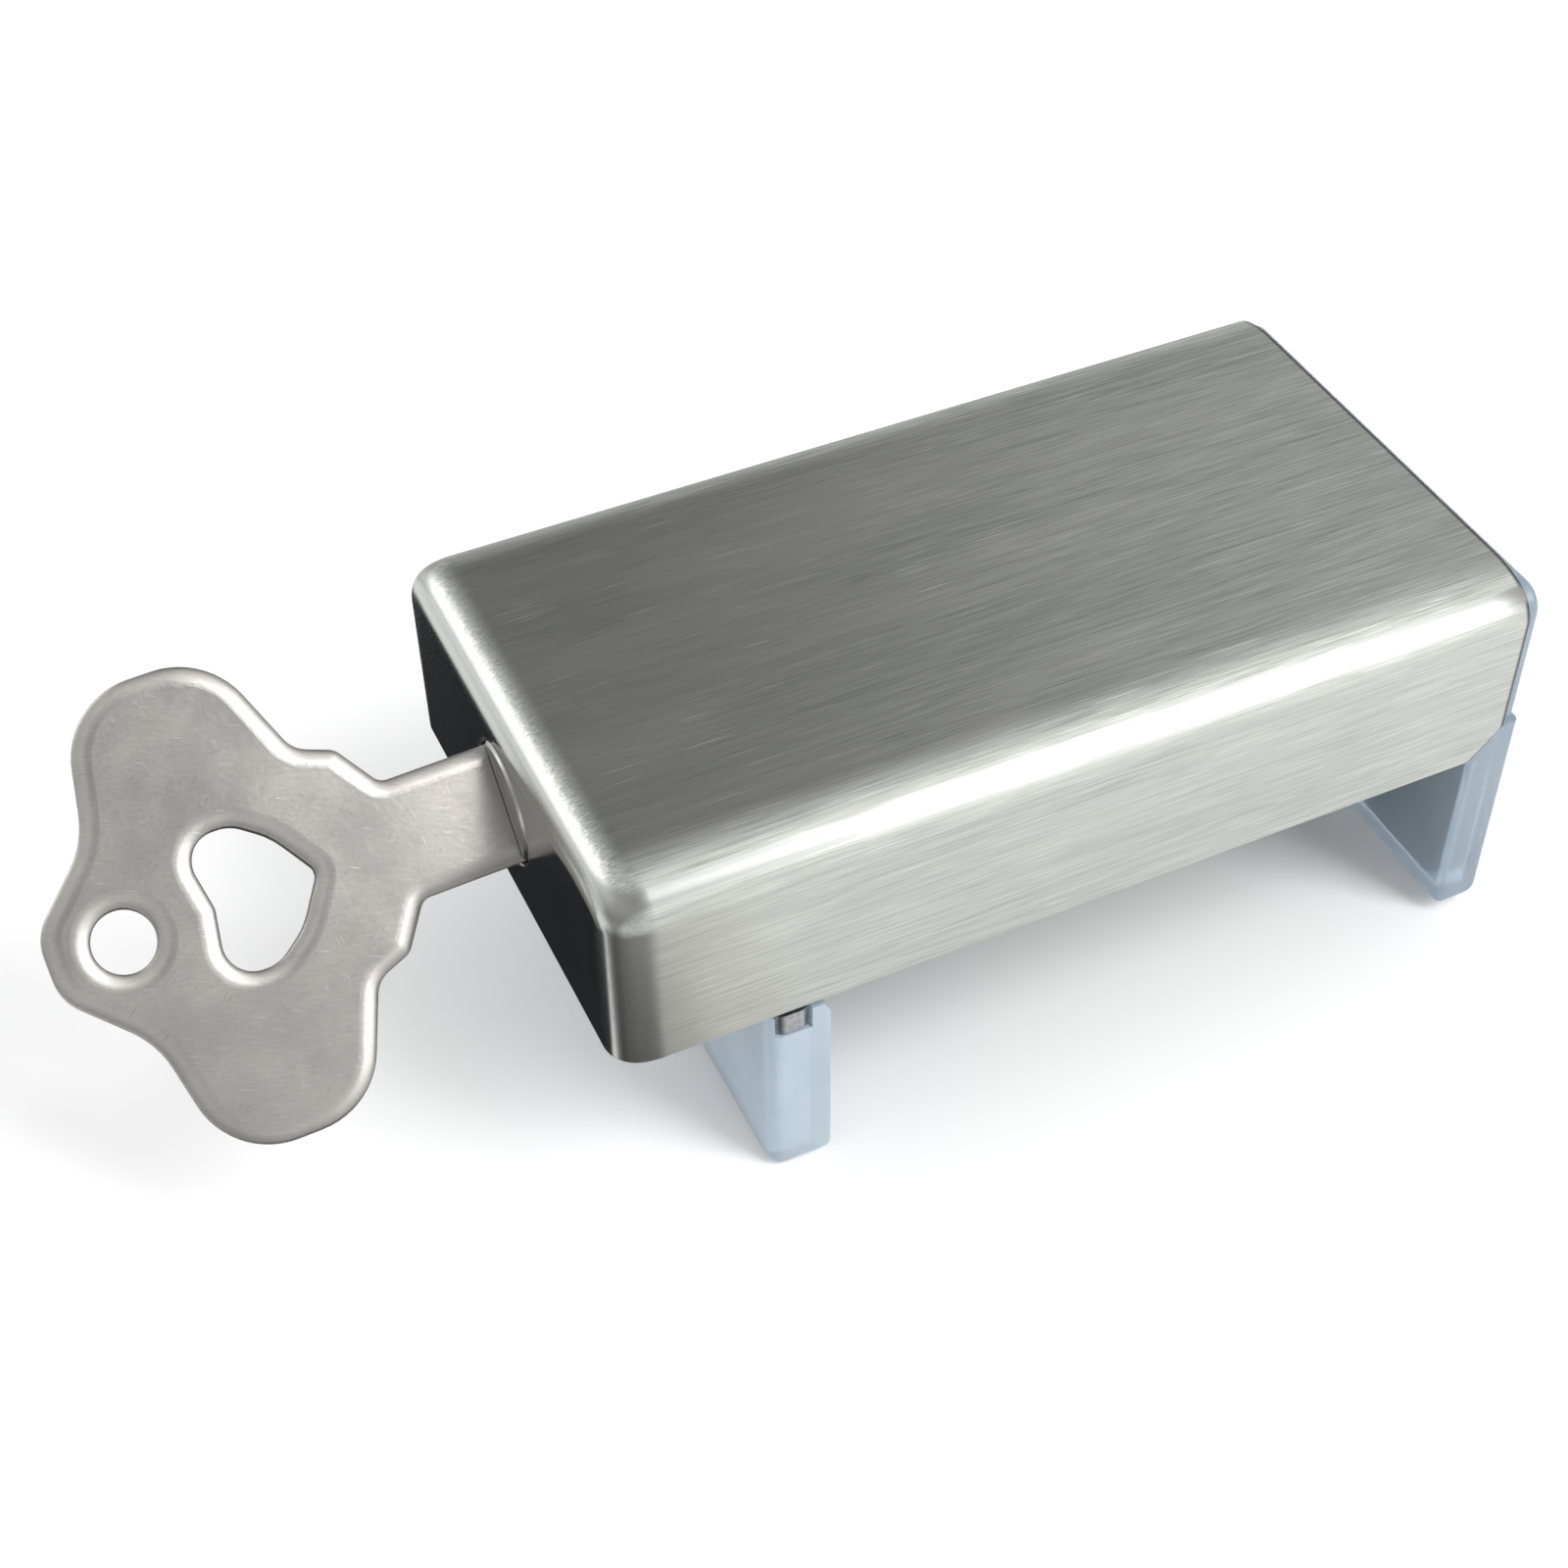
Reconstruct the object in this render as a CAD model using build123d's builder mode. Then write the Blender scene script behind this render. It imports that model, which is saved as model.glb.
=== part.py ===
# Sliding window lock: a drawn steel housing that clamps across a window rail between two jaws.
# A removable stamped key turns a lead screw, and the screw draws the moving jaw to the fixed one.
# Millimetres. The origin is the centre of the fixed jaw's clamping face.
# +X points out of the housing's far end, away from the key, and +Z is up.
import math
import os

from build123d import *

os.makedirs("parts", exist_ok=True)

# Housing, a shell drawn from one sheet, open below and at the far end
housing_length = 54.0
housing_width = 30.0
housing_height = 12.0
sheet = 1.0
crown_radius = 7.0  # the roof falls away gently first
crown_turn = 20.0  # degrees of that gentle arc
bend_radius = 2.2  # then turns tightly into the side wall
end_radius = 2.0  # round edges of the key end
edge_break = 0.2  # around the open end
corner_cut = 2.1  # far lower corners of the side walls

# Jaws
fixed_reach = 12.1  # below the housing's rim
moving_reach = 12.9
fixed_plate = 1.2
moving_plate = 2.0
plate_corner = 1.5
fixed_wall = 0.5  # sleeve on the clamping side
fixed_side_wall = 0.7
fixed_floor = 1.2
fixed_round = 0.45  # upright corners of the clamping side
foot_round = 0.8  # outer lower edge
cap_thickness = 1.0  # the sleeve's outer wall, which also caps the housing
cap_drop = 0.9  # its top below the roof
cap_inset = 0.5  # its sides inside the housing's
cap_corner = 1.5
cap_round = 0.45  # its outer edge
moving_wall = 1.25  # pad on the clamping side
back_wall = 0.45
moving_side_wall = 0.8
moving_floor = 0.9
back_round = 0.9
pad_chamfer = 0.5  # where the pad passes the housing's rim
pad_chamfer_height = 1.1
toe_round = 0.7  # around the moving sleeve's lower end
sleeve_edge = 0.4
roof_flange = 6.6
flange_width = 20.0
flange_bend = 0.6  # inside radius of the fixed jaw's bend
web_width = 21.0
web_corner = 1.0
wing_length = 7.0
wing_start = 0.8  # above the rim
wing_drop = 1.4  # top below the web's
wing_bend = 1.0
ear_depth = 1.45
ear_round = 0.6

# Lead screw and the bush for its far end
screw_drop = 6.0  # axis below the roof
screw_diameter = 5.0
journal_diameter = 3.0
bush_diameter = 4.4
bush_flange = 5.6
bush_flange_thickness = 0.6
undercut_length = 1.2
screw_chamfer = 0.4

# Drive plug, the turned head that carries the keyway
plug_diameter = 8.1
plug_recess = 0.2  # face inside the housing's end face
plug_flange = 9.2
plug_flange_thickness = 1.2
plug_length = 8.4
spigot_diameter = 4.0
spigot_length = 2.6
pin_diameter = 1.2
washer_diameter = 10.4
washer_flat = 4.2  # from the axis
washer_thickness = 0.5

# Jaw nut
nut_across_flats = 7.0
nut_length = 4.2
nut_spigot = 6.2
nut_chamfer = 0.2

# Key, stamped from strip
key_angle = 42.5  # degrees that the keyway is turned from level
key_thickness = 1.5
key_insertion = 4.6
key_lean = 1.8  # degrees that the key leans in the keyway, which its play allows
keyway_depth = 5.0
shank_width = 6.5
tip_round = 1.0
face_break = 0.4  # broken edges, wider on the face that the punch met
back_break = 0.25
ring_hole_diameter = 3.3
ring_hole_distance = 20.6  # from the housing's end face
keyway_chamfer = 0.2

# Clearances
running = 0.05  # radial, shaft in bearing
keyway_play = 0.15
slide_gap = 0.3  # moving jaw to housing
seat_gap = 0.05  # pieces assembled against each other
open_gap = 0.25  # moving jaw behind the drive plug, fully open
end_play = 0.2  # of the screw along its axis

# Places that follow from the sizes
rim_z = fixed_reach / 2
roof_z = rim_z + housing_height
fixed_floor_z = rim_z - fixed_reach
moving_floor_z = rim_z - moving_reach
screw_z = roof_z - screw_drop
half_width = housing_width / 2
far_x = fixed_wall + fixed_plate
key_end_x = far_x - housing_length
inner_end_x = key_end_x + sheet
flange_x = inner_end_x + washer_thickness + seat_gap
plug_face_x = key_end_x + plug_recess
plug_end_x = plug_face_x + plug_length
moving_plate_x = plug_end_x + open_gap
moving_back_x = moving_plate_x - back_wall
moving_face_x = moving_plate_x + moving_plate + moving_wall
screw_start_x = plug_end_x - spigot_length
bush_face_x = far_x - fixed_plate - bush_flange_thickness
journal_start_x = bush_face_x - end_play
plug_radius = plug_diameter / 2
screw_radius = screw_diameter / 2
wing_half = half_width - sheet - slide_gap
guide_top_z = roof_z - sheet - slide_gap

screw_axis = Axis((0, 0, screw_z), (1, 0, 0))
turning_plane = Plane(origin=(0, 0, screw_z), x_dir=(1, 0, 0), z_dir=(0, -1, 0))
key_turn = math.radians(key_angle)
across_key = (0, math.cos(key_turn), math.sin(key_turn))
key_normal = (0, -math.sin(key_turn), math.cos(key_turn))


def cross_plane(x):
    # A plane square to the screw, with its origin on the screw's axis
    return Plane(origin=(x, 0, screw_z), x_dir=(0, 1, 0), z_dir=(1, 0, 0))


def keyed_plane(x):
    # The same, turned with the key, so that its first axis lies across the key
    return Plane(origin=(x, 0, screw_z), x_dir=across_key, z_dir=(1, 0, 0))


def shell_section(inset, bottom):
    # Cross-section of the housing, or of what fits inside it when inset
    crown = crown_radius - inset
    bend = bend_radius - inset
    turn = math.radians(crown_turn)
    flat = half_width - (crown_radius - bend_radius) * math.sin(turn) - bend_radius
    top = roof_z - inset
    bend_y = flat + (crown - bend) * math.sin(turn)
    bend_z = top - crown + (crown - bend) * math.cos(turn)
    with BuildSketch() as section:
        with BuildLine():
            Line((0, bottom), (0, top))
            Line((0, top), (flat, top))
            CenterArc((flat, top - crown), crown, 90, -crown_turn)
            CenterArc((bend_y, bend_z), bend, 90 - crown_turn, crown_turn - 90)
            Line((bend_y + bend, bend_z), (bend_y + bend, bottom))
            Line((bend_y + bend, bottom), (0, bottom))
        make_face()
        mirror(about=Plane.YZ)
    return section.sketch


def drawn_shape(inset):
    # The housing's outside, or its cavity when inset by the sheet
    with BuildPart() as shape:
        with BuildSketch(Plane.YZ.offset(key_end_x + inset)):
            add(shell_section(inset, rim_z))
        extrude(amount=housing_length - inset)
        end = shape.faces().sort_by(Axis.X)[0]
        rounded = end.edges().sort_by(Axis.Z)[1:]
        fillet(rounded, end_radius - inset)
    return shape.part


# Housing
with BuildPart() as housing:
    add(drawn_shape(0))
    open_end = housing.faces().sort_by(Axis.X)[-1]
    chamfer(open_end.edges().sort_by(Axis.Z)[1:], edge_break)
    add(drawn_shape(sheet), mode=Mode.SUBTRACT)
    with BuildSketch(cross_plane(key_end_x)):
        Circle(plug_radius + running)
    extrude(amount=sheet, mode=Mode.SUBTRACT)
    with BuildSketch(Plane.XZ):
        with BuildLine():
            cut = corner_cut + seat_gap
            Polyline((far_x - cut, rim_z), (far_x, rim_z), (far_x, rim_z + cut), close=True)
        make_face()
    extrude(amount=half_width, both=True, mode=Mode.SUBTRACT)
housing.part.label = "housing"
export_step(housing.part, "parts/housing.step")

# Thrust washer behind the end wall, with a flat that lies under the roof and keeps it from turning
with BuildPart() as thrust_washer:
    with BuildSketch(cross_plane(inner_end_x)):
        Circle(washer_diameter / 2)
        with Locations((0, washer_flat)):
            Rectangle(washer_diameter, washer_diameter, align=(Align.CENTER, Align.MIN), mode=Mode.SUBTRACT)
        Circle(plug_radius + running, mode=Mode.SUBTRACT)
    extrude(amount=washer_thickness)
thrust_washer.part.label = "thrust_washer"
export_step(thrust_washer.part, "parts/thrust_washer.step")

# Drive plug: nose in the housing's end wall, flange behind it, and the keyway
pin_x = (screw_start_x + plug_end_x) / 2
with BuildPart() as drive_plug:
    with BuildSketch(turning_plane):
        with BuildLine():
            Polyline(
                (plug_face_x, 0),
                (plug_face_x, plug_radius),
                (flange_x, plug_radius),
                (flange_x, plug_flange / 2),
                (flange_x + plug_flange_thickness, plug_flange / 2),
                (flange_x + plug_flange_thickness, plug_radius),
                (plug_end_x, plug_radius),
                (plug_end_x, spigot_diameter / 2 + seat_gap),
                (screw_start_x - seat_gap, spigot_diameter / 2 + seat_gap),
                (screw_start_x - seat_gap, 0),
                close=True,
            )
        make_face()
    revolve(axis=screw_axis)
    with BuildSketch(keyed_plane(plug_face_x)):
        Rectangle(shank_width + 2 * keyway_play, key_thickness + 2 * keyway_play)
    extrude(amount=keyway_depth, mode=Mode.SUBTRACT)
    mouth = drive_plug.faces().sort_by(Axis.X)[0]
    chamfer(mouth.inner_wires()[0].edges(), keyway_chamfer)
    with BuildSketch(Plane(origin=(pin_x, 0, screw_z), x_dir=(1, 0, 0), z_dir=key_normal)):
        Circle(pin_diameter / 2 + running)
    extrude(amount=plug_radius, both=True, mode=Mode.SUBTRACT)
drive_plug.part.label = "drive_plug"
export_step(drive_plug.part, "parts/drive_plug.step")

# Lead screw: spigot in the plug, thread at its outer diameter, and the far journal
with BuildPart() as lead_screw:
    with BuildSketch(turning_plane):
        with BuildLine():
            Polyline(
                (screw_start_x, 0),
                (screw_start_x, spigot_diameter / 2),
                (plug_end_x + undercut_length, spigot_diameter / 2),
                (plug_end_x + undercut_length, screw_radius - screw_chamfer),
                (plug_end_x + undercut_length + screw_chamfer, screw_radius),
                (journal_start_x - screw_chamfer, screw_radius),
                (journal_start_x, screw_radius - screw_chamfer),
                (journal_start_x, journal_diameter / 2),
                (far_x - end_play, journal_diameter / 2),
                (far_x - end_play, 0),
                close=True,
            )
        make_face()
    revolve(axis=screw_axis)
    with BuildSketch(Plane(origin=(pin_x, 0, screw_z), x_dir=(1, 0, 0), z_dir=key_normal)):
        Circle(pin_diameter / 2 + running)
    extrude(amount=screw_radius, both=True, mode=Mode.SUBTRACT)
lead_screw.part.label = "lead_screw"
export_step(lead_screw.part, "parts/lead_screw.step")

# Cross pin that locks the screw into the plug
with BuildPart() as drive_pin:
    with BuildSketch(Plane(origin=(pin_x, 0, screw_z), x_dir=(1, 0, 0), z_dir=key_normal)):
        Circle(pin_diameter / 2)
    extrude(amount=plug_radius - seat_gap, both=True)
drive_pin.part.label = "drive_pin"
export_step(drive_pin.part, "parts/drive_pin.step")

# Fixed jaw: a plate across the housing's mouth, its leg below and its weld flange under the roof
with BuildPart() as fixed_jaw:
    flange_turn = flange_bend + fixed_plate
    foot_z = roof_z - sheet - fixed_plate / 2
    fixed_middle_x = far_x - fixed_plate / 2
    with BuildSketch(Plane.YZ.offset(far_x - fixed_plate)):
        add(shell_section(sheet + seat_gap, rim_z - seat_gap))
        with Locations((0, roof_z)):
            Rectangle(flange_width, 2 * (sheet + flange_turn), mode=Mode.SUBTRACT)
        leg_half = half_width - fixed_side_wall - 2 * seat_gap
        with Locations((0, rim_z - seat_gap)):
            leg_height = fixed_reach - fixed_floor - 2 * seat_gap
            Rectangle(2 * leg_half, leg_height, align=(Align.CENTER, Align.MAX))
    extrude(amount=fixed_plate)
    fillet(fixed_jaw.edges().filter_by(Axis.X).group_by(Axis.Z)[0], plate_corner)
    with BuildSketch(Plane.XZ):
        with BuildLine():
            FilletPolyline(
                (fixed_middle_x - roof_flange, foot_z),
                (fixed_middle_x, foot_z),
                (fixed_middle_x, roof_z - sheet - 2 * flange_turn),
                radius=flange_bend + fixed_plate / 2,
            )
        trace(line_width=fixed_plate)
    extrude(amount=flange_width / 2, both=True)
    with BuildSketch(cross_plane(far_x - fixed_plate)):
        Circle(bush_diameter / 2 + seat_gap)
    extrude(amount=fixed_plate, mode=Mode.SUBTRACT)
fixed_jaw.part.label = "fixed_jaw"
export_step(fixed_jaw.part, "parts/fixed_jaw.step")

# Bush in the fixed jaw for the screw's far journal
with BuildPart() as end_bush:
    with BuildSketch(turning_plane):
        with BuildLine():
            bore = journal_diameter / 2 + running
            Polyline(
                (bush_face_x, bore),
                (bush_face_x, bush_flange / 2),
                (far_x - fixed_plate, bush_flange / 2),
                (far_x - fixed_plate, bush_diameter / 2),
                (far_x, bush_diameter / 2),
                (far_x, bore),
                close=True,
            )
        make_face()
    revolve(axis=screw_axis)
end_bush.part.label = "end_bush"
export_step(end_bush.part, "parts/end_bush.step")

# Fixed jaw's sleeve: a pocket over the leg whose outer wall runs up to cap the housing
with BuildPart() as fixed_jaw_sleeve:
    cap_x = far_x + seat_gap
    pocket_half = half_width - seat_gap - fixed_side_wall
    with BuildSketch(Plane.XZ):
        with BuildLine():
            Polyline(
                (0, fixed_floor_z),
                (cap_x + cap_thickness, fixed_floor_z),
                (cap_x + cap_thickness, rim_z + corner_cut),
                (far_x, rim_z + corner_cut),
                (far_x - corner_cut, rim_z),
                (0, rim_z - seat_gap),
                close=True,
            )
        make_face()
    extrude(amount=half_width - seat_gap, both=True)
    fillet(fixed_jaw_sleeve.edges().filter_by(Axis.Z).group_by(Axis.X)[0], fixed_round)
    foot = fixed_jaw_sleeve.faces().sort_by(Axis.Z)[0]
    fillet(foot.edges().sort_by(Axis.X)[-1], foot_round)
    foot = fixed_jaw_sleeve.faces().sort_by(Axis.Z)[0]
    fillet(foot.edges().sort_by(Axis.X)[0], sleeve_edge)
    with BuildSketch(Plane.YZ.offset(cap_x)):
        with Locations((0, rim_z)):
            cap_height = housing_height - cap_drop
            Rectangle(housing_width - 2 * cap_inset, cap_height, align=(Align.CENTER, Align.MIN))
    extrude(amount=cap_thickness)
    fillet(fixed_jaw_sleeve.edges().filter_by(Axis.X).group_by(Axis.Z)[-1], cap_corner)
    cap_face = fixed_jaw_sleeve.faces().sort_by(Axis.X)[-1]
    cap_edges = [edge for edge in cap_face.edges() if edge.center().Z > rim_z + corner_cut + cap_corner]
    fillet(cap_edges, cap_round)
    with BuildSketch(Plane.YZ.offset(far_x - fixed_plate - seat_gap)):
        with Locations((0, fixed_floor_z + fixed_floor)):
            pocket_height = fixed_reach - fixed_floor
            Rectangle(2 * pocket_half, pocket_height, align=(Align.CENTER, Align.MIN))
        with Locations((0, rim_z)):
            Rectangle(housing_width - 2 * sheet, housing_height, align=(Align.CENTER, Align.MIN))
    extrude(amount=fixed_plate + 2 * seat_gap, mode=Mode.SUBTRACT)
fixed_jaw_sleeve.part.label = "fixed_jaw_sleeve"
export_step(fixed_jaw_sleeve.part, "parts/fixed_jaw_sleeve.step")

# Moving jaw: a plate with guide wings beside the housing's walls and ears under its rim
with BuildPart() as moving_jaw:
    web_x = moving_plate_x + moving_plate / 2
    wing_y = wing_half - moving_plate / 2
    with BuildSketch(Plane.XY.offset(rim_z + wing_start)):
        with BuildLine():
            FilletPolyline(
                (web_x + wing_length, wing_y),
                (web_x, wing_y),
                (web_x, -wing_y),
                (web_x + wing_length, -wing_y),
                radius=wing_bend + moving_plate / 2,
            )
        trace(line_width=moving_plate)
    extrude(amount=guide_top_z - wing_drop - rim_z - wing_start)
    wing_corners = moving_jaw.edges().filter_by(Axis.Y).group_by(Axis.X)[-1]
    fillet(wing_corners, plate_corner)
    with BuildSketch(Plane.YZ.offset(moving_plate_x)):
        ear_top = rim_z - slide_gap
        with Locations((0, ear_top)):
            Rectangle(web_width, guide_top_z - ear_top, align=(Align.CENTER, Align.MIN))
            ear_span = 2 * (half_width - 2 * seat_gap)
            Rectangle(ear_span, ear_depth, align=(Align.CENTER, Align.MAX))
        leg_half = half_width - moving_side_wall - seat_gap
        with Locations((0, ear_top)):
            leg_height = moving_reach - slide_gap - moving_floor - seat_gap
            Rectangle(2 * leg_half, leg_height, align=(Align.CENTER, Align.MAX))
    extrude(amount=moving_plate)
    fillet(moving_jaw.edges().filter_by(Axis.X).group_by(Axis.Z)[0], plate_corner)
    fillet(moving_jaw.edges().filter_by(Axis.X).group_by(Axis.Z)[-1], web_corner)
    ear_ends = moving_jaw.edges().filter_by(Axis.Z).group_by(Axis.Y)
    fillet(ear_ends[0] + ear_ends[-1], ear_round)
    with BuildSketch(cross_plane(moving_plate_x)):
        Circle(nut_spigot / 2 + seat_gap)
    extrude(amount=moving_plate, mode=Mode.SUBTRACT)
moving_jaw.part.label = "moving_jaw"
export_step(moving_jaw.part, "parts/moving_jaw.step")

# Jaw nut, staked through the moving jaw
with BuildPart() as jaw_nut:
    nut_face_x = moving_plate_x + moving_plate
    with BuildSketch(cross_plane(nut_face_x)):
        RegularPolygon(nut_across_flats / 2, 6, major_radius=False)
    extrude(amount=nut_length)
    with BuildSketch(cross_plane(moving_plate_x)):
        Circle(nut_spigot / 2)
    extrude(amount=moving_plate)
    with BuildSketch(cross_plane(moving_plate_x)):
        Circle(screw_radius + running)
    extrude(amount=moving_plate + nut_length, mode=Mode.SUBTRACT)
    for nut_end in (jaw_nut.faces().sort_by(Axis.X)[0], jaw_nut.faces().sort_by(Axis.X)[-1]):
        chamfer(nut_end.inner_wires()[0].edges(), nut_chamfer)
jaw_nut.part.label = "jaw_nut"
export_step(jaw_nut.part, "parts/jaw_nut.step")

# Moving jaw's sleeve: a pocket over the leg, notched where the steel ears come out
with BuildPart() as moving_jaw_sleeve:
    sleeve_top = rim_z - slide_gap
    sleeve_height = sleeve_top - moving_floor_z
    with BuildSketch(Plane.XY.offset(moving_floor_z)):
        with Locations((moving_back_x, 0)):
            thickness = moving_face_x - moving_back_x
            Rectangle(thickness, housing_width, align=(Align.MIN, Align.CENTER))
    extrude(amount=sleeve_height)
    fillet(moving_jaw_sleeve.edges().filter_by(Axis.Z).group_by(Axis.X)[0], back_round)
    fillet(moving_jaw_sleeve.edges().filter_by(Axis.Z).group_by(Axis.X)[-1], sleeve_edge)
    fillet(moving_jaw_sleeve.faces().sort_by(Axis.Z)[0].edges(), toe_round)
    with BuildSketch(Plane.XZ):
        with BuildLine():
            Polyline(
                (moving_face_x - pad_chamfer, sleeve_top),
                (moving_face_x, sleeve_top),
                (moving_face_x, sleeve_top - pad_chamfer_height),
                close=True,
            )
        make_face()
    extrude(amount=half_width, both=True, mode=Mode.SUBTRACT)
    with BuildSketch(Plane.YZ.offset(moving_plate_x - seat_gap)):
        with Locations((0, sleeve_top)):
            pocket_half = half_width - moving_side_wall
            Rectangle(2 * pocket_half, sleeve_height - moving_floor, align=(Align.CENTER, Align.MAX))
            Rectangle(housing_width, ear_depth + seat_gap, align=(Align.CENTER, Align.MAX))
    extrude(amount=moving_plate + 2 * seat_gap, mode=Mode.SUBTRACT)
moving_jaw_sleeve.part.label = "moving_jaw_sleeve"
export_step(moving_jaw_sleeve.part, "parts/moving_jaw_sleeve.step")

# Key: corners of the blank on one side of its axis, from the shank to the end of the bow,
# as distance from the housing's end face, distance from the key's middle line and corner radius
key_outline = (
    (5.8, shank_width / 2, 0.8),
    (7.4, 5.6, 1.0),
    (9.4, 6.35, 1.6),
    (11.85, 12.45, 4.2),
    (19.35, 12.4, 4.2),
    (20.8, 5.4, 5.0),
    (24.5, 1.7, 2.6),
)
# Heart-shaped hole, from its point to its notch, in the same terms
heart_outline = (
    (10.35, 0.0, 0.7),
    (11.95, 2.45, 4.0),
    (13.7, 3.75, 2.0),
    (16.5, 3.75, 1.6),
    (15.85, 0.0, 0.7),
)
lean = math.radians(key_lean)
key_along = Vector(-math.cos(lean), -math.sin(lean) * across_key[1], -math.sin(lean) * across_key[2])
key_pivot = Vector(key_end_x + key_insertion / 2, 0, screw_z)
key_start = key_pivot + key_along * (key_insertion / 2)
key_plane = Plane(origin=key_start, x_dir=key_along, z_dir=key_normal)
with BuildPart() as key:
    with BuildSketch(key_plane):
        with BuildLine():
            tip = -key_insertion
            upper = [(tip, shank_width / 2, tip_round), *key_outline]
            lower = [(u, -v, r) for u, v, r in reversed(upper)]
            outline = upper + lower
            FilletPolyline(*[(u, v) for u, v, r in outline], radius=[r for u, v, r in outline], close=True)
        make_face()
        with BuildLine():
            mirrored = [(u, -v, r) for u, v, r in reversed(heart_outline[1:-1])]
            heart = list(heart_outline) + mirrored
            FilletPolyline(*[(u, v) for u, v, r in heart], radius=[r for u, v, r in heart], close=True)
        make_face(mode=Mode.SUBTRACT)
        with Locations((ring_hole_distance, 0)):
            Circle(ring_hole_diameter / 2, mode=Mode.SUBTRACT)
    extrude(amount=key_thickness / 2, both=True)
    across = Axis((0, 0, screw_z), key_normal)
    broad_faces = key.faces().filter_by(GeomType.PLANE).sort_by(across)
    chamfer(broad_faces[-1].edges(), face_break)
    broad_faces = key.faces().filter_by(GeomType.PLANE).sort_by(across)
    chamfer(broad_faces[0].edges(), back_break)
key.part.label = "key"
export_step(key.part, "parts/key.step")
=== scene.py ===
import math

import bmesh
import bpy
from mathutils import Matrix, Vector


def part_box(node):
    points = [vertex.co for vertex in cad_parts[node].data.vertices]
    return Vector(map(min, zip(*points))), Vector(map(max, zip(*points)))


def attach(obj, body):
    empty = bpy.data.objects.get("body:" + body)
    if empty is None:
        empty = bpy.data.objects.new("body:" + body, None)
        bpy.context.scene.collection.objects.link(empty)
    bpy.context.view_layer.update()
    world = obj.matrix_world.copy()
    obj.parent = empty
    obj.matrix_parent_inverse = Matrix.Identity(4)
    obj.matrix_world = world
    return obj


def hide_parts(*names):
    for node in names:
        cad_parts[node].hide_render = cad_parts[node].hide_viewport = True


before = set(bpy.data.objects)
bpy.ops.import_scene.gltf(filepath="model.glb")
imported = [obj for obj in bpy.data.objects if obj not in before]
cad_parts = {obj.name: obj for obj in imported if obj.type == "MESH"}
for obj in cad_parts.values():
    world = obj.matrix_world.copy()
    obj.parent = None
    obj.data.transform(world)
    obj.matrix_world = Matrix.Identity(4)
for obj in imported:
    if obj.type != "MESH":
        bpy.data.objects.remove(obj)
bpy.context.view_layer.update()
mm = 0.001
print("stage: frame loaded")

# Places that follow from the frame's own pieces
housingLow, housingHigh = [Vector(corner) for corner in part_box("housing")]
screwLow, screwHigh = [Vector(corner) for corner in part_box("lead_screw")]
jawLow = Vector(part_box("moving_jaw_sleeve")[0])
plugHigh = Vector(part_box("drive_plug")[1])
bushLow = Vector(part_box("end_bush")[0])
keyEndX = housingLow.x  # the housing's closed end
farX = housingHigh.x
halfWidth = -housingLow.y
rimZ = housingLow.z  # its lower edge
roofZ = housingHigh.z
groundZ = jawLow.z  # what the jaws stand on
screwZ = (screwLow.z + screwHigh.z) / 2
keyTurn = math.radians(42.5)  # how far the keyway, and the key in it, are turned from level


def hexToLinear(code):
    values = [int(code[i:i + 2], 16) / 255 for i in (1, 3, 5)]
    return [v / 12.92 if v <= 0.04045 else ((v + 0.055) / 1.055) ** 2.4 for v in values] + [1]


def addNode(tree, kind, settings=None, links=None):
    # a setting names a property or a socket, and a link comes from a socket or from a node's first output
    node = tree.nodes.new(kind)
    for name, value in (settings or {}).items():
        if isinstance(name, str) and hasattr(node, name):
            setattr(node, name, value)
        else:
            node.inputs[name].default_value = value
    for name, source in (links or {}).items():
        output = source.outputs[0] if isinstance(source, bpy.types.Node) else source
        tree.links.new(output, node.inputs[name])
    return node


def newMaterial(name, settings):
    material = bpy.data.materials.new(name)
    material.use_nodes = True
    shader = material.node_tree.nodes["Principled BSDF"]
    for socket, value in settings.items():
        shader.inputs[socket].default_value = value
    return material, material.node_tree, shader


def millimetres(tree):
    # object coordinates in mm, which stay with the piece
    coords = addNode(tree, "ShaderNodeTexCoord")
    return addNode(tree, "ShaderNodeVectorMath", {"operation": "SCALE", "Scale": 1 / mm},
                   {0: coords.outputs["Object"]})


def stretchedNoise(tree, place, size, detail, roughness):
    # noise whose blotches measure size (x, y, z) in mm
    squeezed = addNode(tree, "ShaderNodeVectorMath",
                       {"operation": "MULTIPLY", 1: [1 / s for s in size]}, {0: place})
    return addNode(tree, "ShaderNodeTexNoise", {"Scale": 1.0, "Detail": detail, "Roughness": roughness},
                   {"Vector": squeezed})


def ramps(tree, *ranges):
    # the product of ramps, each given as its source, where it starts and ends, and its values there
    product = None
    for source, start, end, first, last in ranges:
        ramp = addNode(tree, "ShaderNodeMapRange",
                       {"From Min": start, "From Max": end, "To Min": first, "To Max": last},
                       {"Value": source})
        if product is not None:
            ramp = addNode(tree, "ShaderNodeMath", {"operation": "MULTIPLY"}, {0: product, 1: ramp})
        product = ramp
    return product


def layTone(tree, base, pattern, tone, start=0.0, full=1.0, most=1.0):
    # lays a tone over a base colour where the pattern goes from start to full, up to the most it covers
    amount = ramps(tree, (pattern, start, full, 0.0, most))
    mixed = addNode(tree, "ShaderNodeMix", {"data_type": "RGBA", 7: hexToLinear(tone)}, {0: amount})
    if isinstance(base, str):
        mixed.inputs[6].default_value = hexToLinear(base)
    else:
        tree.links.new(base, mixed.inputs[6])
    return mixed.outputs[2]


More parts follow.
